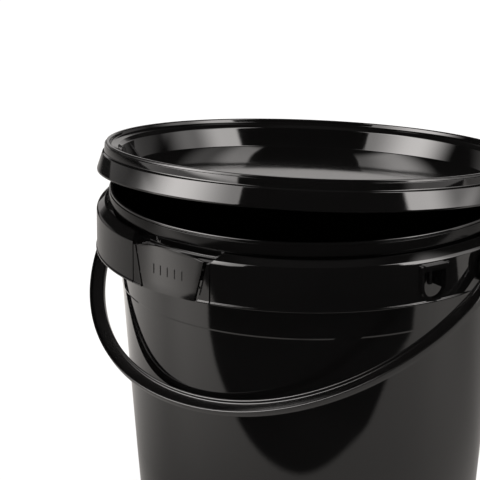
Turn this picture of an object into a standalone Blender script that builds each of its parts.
"""Small lidded bucket with a carrying bail, a tamper-evident collar and a tear tab.

Units are metres, +Z is up. The origin is the centre of the foot ring on the
floor. The tear tab faces -Y and the bail turns about an axis along X.
The lid is ajar, turned up about its edge at the back. Bearings are in degrees,
measured from the front (-Y) towards +X.
"""
import bpy
import bmesh
import math
from mathutils import Vector, Matrix

MM = 0.001
SIDES = (1, -1)               # +X side, then -X side

SEG = 72                      # facets round the bucket and the lid
SHARP_ANGLE = math.radians(32.0)
MERGE = 1e-6                  # vertices closer than this are joined

# ---------------------------------------------------------------- collar
COLLAR_R = 66.5 * MM          # outer radius of the collar at its top edge
COLLAR_Z = 111.5 * MM         # height of that edge above the floor
COLLAR_H = 12.65 * MM         # height of the collar skirt
COLLAR_FOOT = COLLAR_Z - COLLAR_H
COLLAR_DRAFT = 0.1 * MM       # how much wider the collar face is at its foot
COLLAR_WALL = 1.15 * MM
COLLAR_IN = COLLAR_R - COLLAR_WALL
LIP_R = 66.9 * MM             # small bead round the collar's lower edge
LIP_H = 0.6 * MM
DECK_T = 1.7 * MM             # shelf that joins the collar to the bucket wall
CREST_R = 64.0 * MM           # guard crest that shields the lid's edge
CREST_W = 0.65 * MM
CREST_IN = CREST_R - CREST_W
CREST_H = 2.4 * MM
GUTTER_Z = 0.1 * MM           # gutter floor, above the collar's top edge

# ---------------------------------------------------------------- neck, wall and floor
NECK_R = 61.4 * MM            # outer radius of the neck above the gutter
RIM_R = 62.6 * MM             # rim bead the lid snaps over
RIM_TOP = 7.0 * MM            # above the collar's top edge
RIM_FOOT = 2.9 * MM           # likewise
RIM_IN = 60.5 * MM            # inside of the neck below the rim
RIM_MOUTH = 61.3 * MM         # and at the rim itself, where it flares
RIM_SETBACK = 0.3 * MM        # narrower band above the bead
WALL_R = 60.63 * MM           # outer radius of the tapered wall at collar height
WALL_TAPER = 0.0703           # radius lost per unit of height, going down
WALL_T = 1.2 * MM
STEP_Z = 88.2 * MM            # faint stacking step round the wall
STEP_R = 0.08 * MM
FLOOR_Z = 2.4 * MM            # underside of the floor, inside the foot ring
FLOOR_T = 1.5 * MM
FOOT_W = 2.2 * MM

NUB_R = 3.0 * MM              # moulding nub under the floor, at its root
NUB_TIP_R = 2.4 * MM
NUB_ROOT = 0.5 * MM           # how far it is sunk into the floor
NUB_DROP = 0.6 * MM

# ---------------------------------------------------------------- webs and lugs
RIB_COUNT = 12                # webs under the collar
RIB_T = 1.0 * MM
RIB_IN_Z = 5.0 * MM           # below the collar's edge, where the wall sets their inner end
RIB_SINK_IN = 0.7 * MM        # overlap with the wall
RIB_SINK_OUT = 0.55 * MM      # overlap with the collar
RIB_TOP = 0.9 * MM            # below the collar's top edge
RIB_DROP = 9.0 * MM           # likewise, lower end

LUG_DEG = 71.2                # bearing of the stop lugs, either side
LUG_W = 10.2 * MM
LUG_H = 11.75 * MM
LUG_TOP = -0.9 * MM           # relative to the collar's top edge
LUG_FOOT = -0.7 * MM - LUG_H
LUG_FACE = 67.1 * MM
LUG_SINK = 0.8 * MM           # how far the pad reaches inside the collar face
LUG_BEVEL = 0.35 * MM
LUG_ARC = 12                  # steps round the foot of a lug
LUG_RING = 1.35 * MM          # width of the frame left round the hole
LUG_HOLE_TOP = 1.8 * MM       # width of the frame above the hole
LUG_HOLE_SINK = 2.2 * MM      # how far the cut runs inside the collar face
LUG_HOLE_OVER = 2.0 * MM      # and beyond the lug's face
LUG_RIB = (1.1 * MM, 1.1 * MM, 4.6 * MM)      # upright bar across the hole
LUG_RIB_SHIFT = 1.3 * MM      # sideways from the lug's middle, towards the front
LUG_RIB_SINK = 0.45 * MM
LUG_RIB_Z = -4.6 * MM
LUG_LEDGE = (7.6 * MM, 1.9 * MM, 0.8 * MM)    # level bar across the top
LUG_LEDGE_PROUD = 0.35 * MM
LUG_LEDGE_Z = -1.25 * MM

# ---------------------------------------------------------------- tear tab and its opening
TAB_TOP_DEG = 11.35           # half-angle of the tear tab at its top
TAB_FOOT_DEG = 8.58           # and at its foot
TAB_FOOT_Z = -12.6 * MM       # relative to the collar's top edge
TAB_ARCH = 1.8 * MM           # how far its top bows upwards
TAB_CORNER_Z = -0.1 * MM      # height of its top corners
TAB_T = 1.1 * MM
TAB_TOP_T = 0.6 * MM          # thickness along its top, inwards from the proud face
TAB_PROUD = 0.15 * MM
TAB_COLS = 16
# height, share of the rise from there to the arched top, set-back of the face, thickened
TAB_ROWS = (
    (TAB_FOOT_Z, 0.0, 0.0, True),
    (TAB_FOOT_Z * 0.5, 0.0, 0.0, True),
    (-0.9 * MM, 0.0, 0.0, True),
    (-0.4 * MM, 0.0, 0.0, False),
    (-0.4 * MM, 0.55, 0.0, False),
    (-0.4 * MM, 0.9, 0.0, False),
    (-0.4 * MM, 1.0, 0.2 * MM, False),
)

GRIP_COUNT = 5                # raised grip marks on the tab
GRIP_PITCH = 2.35             # degrees
GRIP_Z = -5.6 * MM
GRIP_SINK = 0.2 * MM
GRIP_SIZE = (0.9 * MM, 0.8 * MM, 3.2 * MM)
BRIDGE_HEIGHTS = (-2.6 * MM, -8.2 * MM)       # stubs of the bridges that tear
BRIDGE_OUT_DEG = 0.18         # beyond the tab's edge
BRIDGE_SINK = 0.35 * MM
BRIDGE_SIZE = (0.9 * MM, 0.5 * MM, 0.6 * MM)

SLIT = 1.0 * MM               # width of the slits beside the tab
SLIT_DEG = math.degrees(SLIT / COLLAR_R)
SLIT_TOP_TRIM = 0.1           # degrees taken off the slit at its top
WINDOW_COLS = 17
WINDOW_OVER = 1.0 * MM        # how far the cut runs below the collar
WINDOW_R = COLLAR_R + 5 * MM
WINDOW_IN = COLLAR_IN - 0.75 * MM
SLIT_TOP_Z = -0.62 * MM
NOTCH_Z = -0.55 * MM          # foot of the gap in the crest
NOTCH_TOP = 3.7 * MM
NOTCH_IN = CREST_IN - 0.4 * MM
NOTCH_DEG = 12.8              # half-angle where the crest stops
NOTCH_SLOPE = 1.04            # degrees the crest's ends lean back, per millimetre

SCORE_DEG = 13.05             # tear lines scored beside the tab
SCORE_W = 0.5 * MM
SCORE_D = 0.35 * MM
SCORE_TOOL = 3.0 * MM         # radial size of the cutter
SCORE_BELOW = 0.5 * MM        # how far the cutter runs below the collar
SCORE_ABOVE = 0.8 * MM        # and above its top edge

# ---------------------------------------------------------------- lid
LID_R_TOP = 64.3 * MM
LID_R_FOOT = 66.45 * MM
LID_FOOT = 0.55 * MM          # lower edge of the closed lid, above the collar edge
LID_TOP = 9.05 * MM
LID_BAND = 6.75 * MM          # where the upright band meets the flared skirt
LID_WALL = 7.3 * MM
LID_BEAD = 0.7 * MM
LID_PANEL = 1.3 * MM
LID_T = 1.1 * MM
LID_SEAT = RIM_TOP + 0.27 * MM                # underside over the rim
LID_AJAR = 7.24               # degrees open
LID_RISE_DEG = 22.8           # bearing of the edge that lifts most

# ---------------------------------------------------------------- bail
BAIL_HALF = 73.7 * MM         # half-width, outside
BAIL_REACH = 75.85 * MM       # reach from the pivot axis, outside
BAIL_POWER = 2.05             # exponent of the bow's outline
BAIL_W = 4.6 * MM             # width of the strap in the plane of the bow
BAIL_T = 2.4 * MM             # thickness of the strap across that plane
BAIL_FLANGE = 0.6 * MM
BAIL_WEB = 0.8 * MM
BAIL_CHAMFER = 0.25 * MM
BAIL_FILLET = 0.15 * MM       # slope from flange to web
BAIL_STATIONS = 44
BAIL_SAMPLES = 2000           # fine steps used to space the stations evenly
BAIL_DROOP = 34.9             # degrees below level
PIVOT_Z = COLLAR_Z - 5.0 * MM

END_PLAIN = 7 * MM            # length at each end with the solid end section
END_BLEND = 8 * MM            # length over which it turns into the flanged one
END_W = 2.5 * MM
END_INSET = 0.8 * MM          # inward shift of the end section
END_THICKEN = 0.5 * MM        # added to the half-thickness
END_WEB_DROP = 0.02 * MM      # web surface below the flanges

STUD_HOLE_R = 2.4 * MM
STUD_HOLE_IN = 1.6 * MM       # inner end of the hole, outside the bucket wall
STUD_HOLE_OVER = 3.0 * MM     # its outer end, beyond the collar
EYE_IN = 67.2 * MM
# radius at start, radius at end, start x, end x, sides
PIVOT_RODS = (
    (5.6 * MM, 5.1 * MM, EYE_IN, 70.6 * MM, 36),           # eye
    (2.1 * MM, 2.1 * MM, EYE_IN + 1.0 * MM, 64.4 * MM, 24),  # stud
    (2.9 * MM, 2.1 * MM, 64.95 * MM, 63.6 * MM, 24),       # stud head
)


# ---------------------------------------------------------------- helpers
def material(name, roughness, colour=(0.012, 0.012, 0.013, 1.0)):
    """Plain black plastic."""
    plastic = bpy.data.materials.new(name)
    plastic.use_nodes = True
    shader = plastic.node_tree.nodes["Principled BSDF"]
    shader.inputs["Base Color"].default_value = colour
    shader.inputs["Roughness"].default_value = roughness
    plastic.diffuse_color = colour
    return plastic


def rounded(corners):
    """Corners (radius, z[, fillet radius[, arc steps]]) turned into outline points."""
    outline = []
    for i, (x, z, *fillet) in enumerate(corners):
        corner = Vector((x, z))
        if not fillet:
            outline.append(corner)
            continue
        radius, steps = (*fillet, 2)[:2]
        before = Vector(corners[i - 1][:2]) - corner
        after = Vector(corners[i + 1][:2]) - corner
        room = 0.49 * min(before.length, after.length)
        before.normalize()
        after.normalize()
        half = before.angle(after) / 2
        run = min(radius / math.tan(half), room)
        radius = run * math.tan(half)
        centre = corner + (before + after).normalized() * (radius / math.sin(half))
        start = corner + before * run - centre
        end = corner + after * run - centre
        sweep = start.angle_signed(end)
        for k in range(steps + 1):
            cos, sin = math.cos(-sweep * k / steps), math.sin(-sweep * k / steps)
            arm = Vector((start.x * cos - start.y * sin, start.x * sin + start.y * cos))
            outline.append(centre + arm)
    return outline


def shade(mesh):
    mesh.shade_smooth()
    mesh.set_sharp_from_angle(angle=SHARP_ANGLE)


def finish(solid, name, plastic=None):
    """Turn a BMesh into a linked, shaded object."""
    bmesh.ops.remove_doubles(solid, verts=solid.verts, dist=MERGE)
    bmesh.ops.recalc_face_normals(solid, faces=solid.faces)
    mesh = bpy.data.meshes.new(name)
    solid.to_mesh(mesh)
    solid.free()
    obj = bpy.data.objects.new(name, mesh)
    bpy.context.scene.collection.objects.link(obj)
    if plastic is not None:
        mesh.materials.append(plastic)
    shade(mesh)
    return obj


def revolve(outline, name, plastic, origin=(0.0, 0.0, 0.0)):
    """Turn an outline that starts and ends on the axis into a closed solid."""
    solid = bmesh.new()
    verts = [solid.verts.new((p.x, 0.0, p.y)) for p in outline]
    edges = [solid.edges.new(pair) for pair in zip(verts[:-1], verts[1:])]
    bmesh.ops.spin(solid, geom=verts + edges, cent=(0, 0, 0), axis=(0, 0, 1),
                   angle=2 * math.pi, steps=SEG, use_merge=True)
    bmesh.ops.remove_doubles(solid, verts=solid.verts, dist=MERGE)
    bmesh.ops.dissolve_degenerate(solid, edges=solid.edges, dist=1e-7)
    bmesh.ops.translate(solid, verts=solid.verts, vec=-Vector(origin))
    return finish(solid, name, plastic)


def lattice(outer_points, inner_points):
    """Close two matching grids of points (rows of columns) into one block."""
    solid = bmesh.new()
    outer = [[solid.verts.new(p) for p in row] for row in outer_points]
    inner = [[solid.verts.new(p) for p in row] for row in inner_points]
    rows, cols = len(outer), len(outer[0])
    for i in range(rows - 1):
        for j in range(cols - 1):
            solid.faces.new((outer[i][j], outer[i][j + 1],
                             outer[i + 1][j + 1], outer[i + 1][j]))
            solid.faces.new((inner[i][j], inner[i + 1][j],
                             inner[i + 1][j + 1], inner[i][j + 1]))
    for i in range(rows - 1):
        for j, step in ((0, 1), (cols - 1, -1)):
            face = (outer[i][j], outer[i + 1][j], inner[i + 1][j], inner[i][j])
            solid.faces.new(face[::step])
    for j in range(cols - 1):
        for i, step in ((0, -1), (rows - 1, 1)):
            face = (outer[i][j], outer[i][j + 1], inner[i][j + 1], inner[i][j])
            solid.faces.new(face[::step])
    return solid


def polar(radius, bearing, z):
    """Point at a bearing and a radius from the bucket's axis."""
    angle = math.radians(bearing)
    return Vector((radius * math.sin(angle), -radius * math.cos(angle), z))


def turn_to(bearing):
    """Rotation that carries the front (-Y) round to a bearing."""
    return Matrix.Rotation(math.radians(bearing), 4, "Z")


def box(solid, centre, size, turn):
    made = bmesh.ops.create_cube(solid, size=1.0)
    placing = Matrix.Translation(centre) @ turn @ Matrix.Diagonal((*size, 1.0))
    bmesh.ops.transform(solid, matrix=placing, verts=made["verts"])


def facing_box(solid, radius, bearing, z, size, origin=Vector((0.0, 0.0, 0.0))):
    """Box turned to face its bearing; size is sideways, radial, upright."""
    box(solid, polar(radius, bearing, z) - origin, size, turn_to(bearing))


def rod(solid, radius1, radius2, start, end, sides=24):
    start, end = Vector(start), Vector(end)
    along = end - start
    made = bmesh.ops.create_cone(solid, cap_ends=True, segments=sides, radius1=radius1,
                                 radius2=radius2, depth=along.length)
    aim = along.to_track_quat("Z", "Y").to_matrix().to_4x4()
    bmesh.ops.transform(solid, matrix=Matrix.Translation((start + end) / 2) @ aim,
                        verts=made["verts"])


def combine(target, solid, operation):
    """Apply one exact Boolean with a BMesh as the tool."""
    tool = finish(solid, "tool")
    mod = target.modifiers.new(tool.name, "BOOLEAN")
    mod.operation = operation
    mod.solver = "EXACT"
    mod.object = tool
    bpy.context.view_layer.update()
    depsgraph = bpy.context.evaluated_depsgraph_get()
    result = bpy.data.meshes.new_from_object(target.evaluated_get(depsgraph))
    target.modifiers.remove(mod)
    plastics = list(target.data.materials)
    target.data = result
    result.materials.clear()
    for plastic in plastics:
        result.materials.append(plastic)
    for poly in result.polygons:
        poly.material_index = 0
    bpy.data.objects.remove(tool, do_unlink=True)


def tidy(obj):
    """Merge stray vertices left by the Booleans and shade again."""
    solid = bmesh.new()
    solid.from_mesh(obj.data)
    bmesh.ops.remove_doubles(solid, verts=solid.verts, dist=MERGE)
    solid.to_mesh(obj.data)
    solid.free()
    shade(obj.data)


def wall_r(z):
    """Outer radius of the tapered wall at a height above the floor."""
    return WALL_R + WALL_TAPER * (z - COLLAR_Z)


def face_r(z):
    """Radius of the collar's outer face at a height relative to its top edge."""
    return COLLAR_R + COLLAR_DRAFT * min(1.0, max(0.0, -z / (COLLAR_H - LIP_H)))


def tab_half(z):
    """Half-angle of the tab at a height relative to the collar's top edge."""
    return TAB_FOOT_DEG + (TAB_TOP_DEG - TAB_FOOT_DEG) * (z - TAB_FOOT_Z) / -TAB_FOOT_Z


# ---------------------------------------------------------------- bucket
def bucket_profile():
    """Radius, z, fillet radius, arc steps: under the floor, up outside, down inside."""
    edge = COLLAR_Z
    foot_r = wall_r(0.0)
    step_r = wall_r(STEP_Z)
    deck = edge - DECK_T + GUTTER_Z
    rim = edge + RIM_TOP
    floor_top = FLOOR_Z + FLOOR_T
    return [
        # floor and foot ring
        (0.0, FLOOR_Z),
        (foot_r - FOOT_W - 1.5 * MM, FLOOR_Z, 0.8 * MM),
        (foot_r - FOOT_W - 1.0 * MM, 0.0, 0.5 * MM, 1),
        (foot_r - 0.2 * MM, 0.0, 1.6 * MM, 2),
        # wall with its step
        (step_r - STEP_R, STEP_Z - 0.35 * MM),
        (step_r + STEP_R, STEP_Z + 0.15 * MM),
        (wall_r(deck) + STEP_R, deck, 0.6 * MM, 1),
        # collar, inside then outside
        (COLLAR_IN - 0.1 * MM, deck, 0.5 * MM, 1),
        (COLLAR_IN + 0.2 * MM, COLLAR_FOOT),
        (LIP_R, COLLAR_FOOT, 0.3 * MM, 1),
        (LIP_R, COLLAR_FOOT + LIP_H, 0.35 * MM, 1),
        (COLLAR_R + COLLAR_DRAFT, COLLAR_FOOT + LIP_H + 0.15 * MM),
        (COLLAR_R, edge - 0.05 * MM, 0.5 * MM, 1),
        (COLLAR_R - 0.45 * MM, edge + 0.65 * MM, 0.5 * MM, 1),
        # crest and gutter
        (CREST_R, edge + CREST_H, 0.25 * MM, 1),
        (CREST_IN, edge + CREST_H, 0.2 * MM, 1),
        (CREST_IN - 0.15 * MM, edge + GUTTER_Z, 0.3 * MM, 1),
        (NECK_R, edge + GUTTER_Z, 0.3 * MM, 1),
        # neck and rim
        (NECK_R, edge + RIM_FOOT - 0.7 * MM),
        (RIM_R, edge + RIM_FOOT),
        (RIM_R, rim - 0.95 * MM),
        (RIM_R - RIM_SETBACK, rim - 0.75 * MM),
        (RIM_R - RIM_SETBACK, rim, 0.5 * MM, 2),
        (RIM_MOUTH, rim, 0.5 * MM, 2),
        (RIM_MOUTH - 0.1 * MM, rim - 1.9 * MM, 0.4 * MM, 1),
        (RIM_IN, edge + RIM_FOOT - 0.6 * MM, 0.4 * MM, 1),
        (RIM_IN - 0.35 * MM, edge - 0.5 * MM),
        # inside of the wall and the floor
        (wall_r(edge - 4 * MM) + STEP_R - WALL_T, edge - 4 * MM),
        (step_r + STEP_R - WALL_T, STEP_Z),
        (step_r - STEP_R - WALL_T, STEP_Z - 1.2 * MM),
        (wall_r(floor_top) - WALL_T, floor_top, 3.0 * MM, 2),
        (0.0, floor_top),
    ]


def add_webs(bucket):
    """Radial webs between the wall and the collar."""
    inner = wall_r(COLLAR_Z - RIB_IN_Z) - RIB_SINK_IN
    outer = COLLAR_IN + RIB_SINK_OUT
    top, foot = COLLAR_Z - RIB_TOP, COLLAR_Z - RIB_DROP
    solid = bmesh.new()
    for k in range(RIB_COUNT):
        bearing = (k + 0.5) * 360.0 / RIB_COUNT
        facing_box(solid, (inner + outer) / 2, bearing, (top + foot) / 2,
                   (RIB_T, outer - inner, top - foot))
    combine(bucket, solid, "UNION")


def shield(half, top, foot, back_r, front_r, turn, bevel=0.0):
    """Upright plate with a square top and a round foot, on the collar's face."""
    solid = bmesh.new()
    outline = [(-half, COLLAR_Z + top), (half, COLLAR_Z + top)]
    for k in range(LUG_ARC + 1):
        angle = math.pi * k / LUG_ARC
        outline.append((half * math.cos(angle),
                        COLLAR_Z + foot + half - half * math.sin(angle)))
    solid.faces.new([solid.verts.new((x, -front_r, z)) for x, z in outline])
    pushed = bmesh.ops.extrude_face_region(solid, geom=solid.faces[:])
    moved = [v for v in pushed["geom"] if isinstance(v, bmesh.types.BMVert)]
    bmesh.ops.translate(solid, verts=moved, vec=(0, front_r - back_r, 0))
    bmesh.ops.remove_doubles(solid, verts=solid.verts, dist=MERGE)
    if bevel:
        rim = [e for e in solid.edges if all(abs(v.co.y + front_r) < 1e-7 for v in e.verts)]
        bmesh.ops.bevel(solid, geom=rim, offset=bevel, segments=1, affect="EDGES",
                        clamp_overlap=True)
    bmesh.ops.transform(solid, matrix=turn, verts=solid.verts)
    return solid


def add_lug(bucket, side):
    """Stop lug: a pierced pad with an upright bar and a ledge."""
    turn = turn_to(LUG_DEG * side)
    pad = shield(LUG_W / 2, LUG_TOP, LUG_FOOT, COLLAR_R - LUG_SINK, LUG_FACE, turn, LUG_BEVEL)
    combine(bucket, pad, "UNION")
    hole = shield(LUG_W / 2 - LUG_RING, LUG_TOP - LUG_HOLE_TOP, LUG_FOOT + LUG_RING,
                  COLLAR_R - LUG_HOLE_SINK, LUG_FACE + LUG_HOLE_OVER, turn)
    combine(bucket, hole, "DIFFERENCE")
    rib = bmesh.new()
    middle = Vector((-LUG_RIB_SHIFT * side, -(COLLAR_R - LUG_RIB_SINK), COLLAR_Z + LUG_RIB_Z))
    box(rib, turn @ middle, LUG_RIB, turn)
    combine(bucket, rib, "UNION")
    ledge = bmesh.new()
    facing_box(ledge, COLLAR_R + LUG_LEDGE_PROUD, LUG_DEG * side, COLLAR_Z + LUG_LEDGE_Z,
               LUG_LEDGE)
    combine(bucket, ledge, "UNION")


def cut_window(bucket):
    """Opening for the tear tab, and the gap in the crest above it."""
    # height relative to the collar's top edge, half-angle, inner radius
    levels = (
        (-COLLAR_H - WINDOW_OVER, tab_half(-COLLAR_H - WINDOW_OVER) + SLIT_DEG, WINDOW_IN),
        (SLIT_TOP_Z, TAB_TOP_DEG + SLIT_DEG - SLIT_TOP_TRIM, WINDOW_IN),
        (NOTCH_Z, NOTCH_DEG, NOTCH_IN),
        (NOTCH_TOP, NOTCH_DEG + NOTCH_SLOPE * NOTCH_TOP / MM, NOTCH_IN),
    )
    outer, inner = [], []
    for z, half, inner_r in levels:
        bearings = [half * (2 * j / WINDOW_COLS - 1) for j in range(WINDOW_COLS + 1)]
        outer.append([polar(WINDOW_R, bearing, COLLAR_Z + z) for bearing in bearings])
        inner.append([polar(inner_r, bearing, COLLAR_Z + z) for bearing in bearings])
    combine(bucket, lattice(outer, inner), "DIFFERENCE")


def cut_scores(bucket):
    """Tear lines in the collar's face."""
    radius = COLLAR_R + COLLAR_DRAFT / 2 - SCORE_D + SCORE_TOOL / 2
    foot, top = COLLAR_FOOT - SCORE_BELOW, COLLAR_Z + SCORE_ABOVE
    solid = bmesh.new()
    for side in SIDES:
        facing_box(solid, radius, SCORE_DEG * side, (foot + top) / 2,
                   (SCORE_W, SCORE_TOOL, top - foot))
    combine(bucket, solid, "DIFFERENCE")


def cut_stud_holes(bucket):
    """Holes the bail's studs turn in."""
    solid = bmesh.new()
    for side in SIDES:
        rod(solid, STUD_HOLE_R, STUD_HOLE_R, (side * (WALL_R + STUD_HOLE_IN), 0, PIVOT_Z),
            (side * (COLLAR_R + STUD_HOLE_OVER), 0, PIVOT_Z))
    combine(bucket, solid, "DIFFERENCE")


def add_nub(bucket):
    """Small moulding nub under the floor."""
    solid = bmesh.new()
    rod(solid, NUB_R, NUB_TIP_R, (0, 0, FLOOR_Z + NUB_ROOT), (0, 0, FLOOR_Z - NUB_DROP), 20)
    combine(bucket, solid, "UNION")


def build_bucket():
    plastic = material("bucket_plastic", roughness=0.14)
    bucket = revolve(rounded(bucket_profile()), "bucket_body", plastic)
    add_webs(bucket)
    for side in SIDES:
        add_lug(bucket, side)
    cut_window(bucket)
    cut_scores(bucket)
    cut_stud_holes(bucket)
    add_nub(bucket)
    tidy(bucket)


# ---------------------------------------------------------------- tear tab
def build_tab():
    """Curved tab with an arched top; its origin is at the middle of its foot."""
    hinge = Vector((0.0, -(face_r(TAB_FOOT_Z) + TAB_PROUD), COLLAR_Z + TAB_FOOT_Z))
    outer, inner = [], []
    for low, share, setback, thickened in TAB_ROWS:
        outer_row, inner_row = [], []
        for j in range(TAB_COLS + 1):
            across = 2 * j / TAB_COLS - 1
            crown = TAB_ARCH * (1 - across * across) + TAB_CORNER_Z
            z = low + (crown - low) * share
            bearing = across * tab_half(min(z, 0.0))
            outer_r = face_r(z) + TAB_PROUD - setback
            inner_r = outer_r - TAB_T if thickened else COLLAR_R + TAB_PROUD - TAB_TOP_T
            outer_row.append(polar(outer_r, bearing, COLLAR_Z + z) - hinge)
            inner_row.append(polar(inner_r, bearing, COLLAR_Z + z) - hinge)
        outer.append(outer_row)
        inner.append(inner_row)
    plastic = material("tab_plastic", roughness=0.2)
    tab = finish(lattice(outer, inner), "tear_tab", plastic)

    grips = bmesh.new()
    for k in range(GRIP_COUNT):
        facing_box(grips, face_r(GRIP_Z) + TAB_PROUD - GRIP_SINK,
                   (k - GRIP_COUNT // 2) * GRIP_PITCH, COLLAR_Z + GRIP_Z, GRIP_SIZE, hinge)
    combine(tab, grips, "UNION")

    bridges = bmesh.new()
    for side in SIDES:
        for z in BRIDGE_HEIGHTS:
            facing_box(bridges, face_r(z) - BRIDGE_SINK, side * (tab_half(z) + BRIDGE_OUT_DEG),
                       COLLAR_Z + z, BRIDGE_SIZE, hinge)
    combine(tab, bridges, "UNION")
    tidy(tab)
    tab.location = hinge


# ---------------------------------------------------------------- lid
# radius, height above the collar's top edge when closed, fillet radius, arc steps
LID_PROFILE = [
    # underside, out to the skirt's lower edge
    (0.0, LID_PANEL - LID_T),
    (57.9 * MM, LID_PANEL - LID_T, 0.5 * MM, 1),
    (59.2 * MM, LID_WALL - 1.8 * MM),
    (59.8 * MM, LID_SEAT, 0.2 * MM, 1),
    (62.9 * MM, LID_SEAT, 0.4 * MM, 1),
    (63.45 * MM, 4.4 * MM),
    (63.05 * MM, 3.75 * MM),
    (63.05 * MM, CREST_H + 0.45 * MM),
    (64.45 * MM, CREST_H + 0.35 * MM),
    (64.6 * MM, CREST_H - 0.1 * MM),
    (LID_R_FOOT - 1.05 * MM, LID_FOOT + 1.15 * MM),
    (LID_R_FOOT, LID_FOOT, 0.15 * MM, 1),
    # skirt and band, outside
    (LID_R_FOOT - 0.02 * MM, LID_FOOT + 0.8 * MM, 0.4 * MM, 1),
    (LID_R_TOP + 0.65 * MM, LID_BAND - 0.4 * MM, 0.3 * MM, 1),
    (LID_R_TOP + 0.12 * MM, LID_BAND + 0.05 * MM, 0.4 * MM, 1),
    (LID_R_TOP, LID_TOP - 0.15 * MM),
    (LID_R_TOP - 0.15 * MM, LID_TOP),
    # bead and top, in to the sunken panel
    (LID_R_TOP - 0.4 * MM, LID_TOP),
    (LID_R_TOP - 0.45 * MM, LID_TOP + LID_BEAD, 0.4 * MM, 2),
    (LID_R_TOP - 1.6 * MM, LID_TOP + LID_BEAD, 0.45 * MM, 2),
    (LID_R_TOP - 1.95 * MM, LID_TOP - 0.5 * MM, 0.3 * MM, 1),
    (60.1 * MM, LID_TOP - 0.85 * MM, 0.5 * MM, 1),
    (58.9 * MM, LID_WALL, 0.5 * MM, 1),
    (57.0 * MM, LID_PANEL, 0.3 * MM, 1),
    (0.0, LID_PANEL),
]


def build_lid():
    """Lid turned up about the point of its lower edge opposite the lifted side."""
    rise = polar(1.0, LID_RISE_DEG, 0.0)
    hinge = -rise * LID_R_FOOT + Vector((0, 0, COLLAR_Z + LID_FOOT))
    outline = [Vector((p.x, p.y + COLLAR_Z)) for p in rounded(LID_PROFILE)]
    lid = revolve(outline, "lid", material("lid_plastic", roughness=0.12), hinge)
    lid.rotation_mode = "AXIS_ANGLE"
    lid.rotation_axis_angle = (math.radians(LID_AJAR), *rise.cross(Vector((0, 0, 1))))
    lid.location = hinge


# ---------------------------------------------------------------- bail
def bow_point(t, across, reach):
    """Point of the bow's outline at parameter t in -1..1."""
    sin, cos = math.sin(t * math.pi / 2), math.cos(t * math.pi / 2)
    power = 2 / BAIL_POWER
    return Vector((across * math.copysign(abs(sin) ** power, sin), -reach * cos ** power, 0.0))


def even_bow(across, reach):
    """Stations evenly spaced along the bow, and the bow's length."""
    fine = [bow_point(2 * k / BAIL_SAMPLES - 1, across, reach) for k in range(BAIL_SAMPLES + 1)]
    run = [0.0]
    for start, end in zip(fine[:-1], fine[1:]):
        run.append(run[-1] + (end - start).length)
    stations, k = [], 0
    for i in range(BAIL_STATIONS + 1):
        want = run[-1] * i / BAIL_STATIONS
        while k < BAIL_SAMPLES - 1 and run[k + 1] < want:
            k += 1
        part = (want - run[k]) / (run[k + 1] - run[k])
        stations.append(fine[k].lerp(fine[k + 1], min(max(part, 0.0), 1.0)))
    return stations, run[-1]


def strap_section(near_end):
    """Section (outward, upward) of the strap at a distance from its nearer end."""
    blend = min(1.0, max(0.0, (near_end - END_PLAIN) / END_BLEND))
    blend = blend * blend * (3 - 2 * blend)
    plain = 1 - blend
    half_w = BAIL_W / 2 * blend + END_W / 2 * plain
    half_t = BAIL_T / 2 + END_THICKEN * plain
    web = BAIL_WEB / 2 * blend + (half_t - END_WEB_DROP) * plain
    flange = half_w - BAIL_FLANGE
    upper = [
        (half_w, half_t - BAIL_CHAMFER), (half_w - BAIL_CHAMFER, half_t),
        (flange, half_t), (flange - BAIL_FILLET, web),
        (-flange + BAIL_FILLET, web), (-flange, half_t),
        (-half_w + BAIL_CHAMFER, half_t), (-half_w, half_t - BAIL_CHAMFER),
    ]
    section = upper + [(out, -up) for out, up in reversed(upper)]
    return [(out - END_INSET * plain, up) for out, up in section]


def build_strap():
    stations, length = even_bow(BAIL_HALF - BAIL_W / 2, BAIL_REACH - BAIL_W / 2)
    solid = bmesh.new()
    rings = []
    for i, point in enumerate(stations):
        if i == 0:
            along = Vector((0, -1, 0))
        elif i == BAIL_STATIONS:
            along = Vector((0, 1, 0))
        else:
            along = (stations[i + 1] - stations[i - 1]).normalized()
        outward = Vector((along.y, -along.x, 0.0))
        section = strap_section(min(i, BAIL_STATIONS - i) * length / BAIL_STATIONS)
        rings.append([solid.verts.new(point + outward * out + Vector((0, 0, up)))
                      for out, up in section])
    for ring, following in zip(rings[:-1], rings[1:]):
        for j in range(len(ring)):
            k = (j + 1) % len(ring)
            solid.faces.new((ring[j], ring[k], following[k], following[j]))
    solid.faces.new(rings[0])
    solid.faces.new(rings[-1][::-1])
    return solid


def build_bail():
    """Flanged strap with an eye and a headed stud at each end."""
    bail = finish(build_strap(), "bail_handle", material("bail_plastic", roughness=0.18))
    for side in SIDES:
        for radius1, radius2, start, end, sides in PIVOT_RODS:
            solid = bmesh.new()
            rod(solid, radius1, radius2, (side * start, 0, 0), (side * end, 0, 0), sides)
            combine(bail, solid, "UNION")
    tidy(bail)
    bail.rotation_euler = (math.radians(BAIL_DROOP), 0.0, 0.0)
    bail.location = (0.0, 0.0, PIVOT_Z)


for old in list(bpy.data.objects):
    bpy.data.objects.remove(old, do_unlink=True)
build_bucket()
build_tab()
build_lid()
build_bail()
